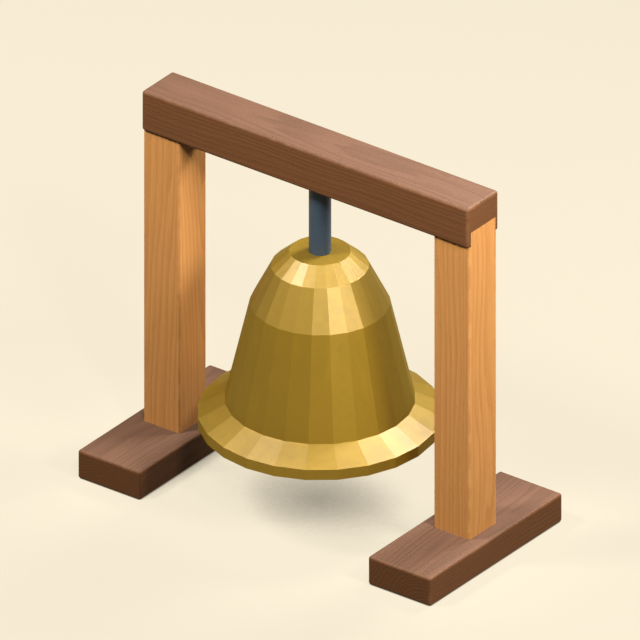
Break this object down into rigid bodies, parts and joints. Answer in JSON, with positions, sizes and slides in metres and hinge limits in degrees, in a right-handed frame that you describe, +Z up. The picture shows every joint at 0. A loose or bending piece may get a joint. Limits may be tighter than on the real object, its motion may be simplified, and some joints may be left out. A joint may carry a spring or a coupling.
{
  "type": "framed bell",
  "caption": "Faceted brass bell hung on a steel rod from a free-standing timber frame with posts, cross beam and wide feet; rung by the clapper inside.",
  "frame": {"origin": "on the ground, under the middle of the bell", "axes": "+X along the beam, +Y along the feet, +Z up"},
  "size_m": [1.367, 0.762, 1.276],
  "materials": {
    "dark_timber": "dark brown stain, satin",
    "light_timber": "light brown oil, satin",
    "dark_steel": "blue-grey paint, satin",
    "bell_metal": "as cast and dressed flat, satin",
    "clapper_iron": "forged, dark"
  },
  "bodies": {
    "root": {"left_foot": "dark_timber", "right_foot": "dark_timber", "left_post": "light_timber", "right_post": "light_timber", "beam": "dark_timber", "hanger_rod": "dark_steel", "bell": "bell_metal", "crown_washer": "dark_steel", "crown_nut": "dark_steel", "clapper_fork": "dark_steel", "clapper_pin": "dark_steel", "clapper": "clapper_iron"}
  },
  "joints": []
}
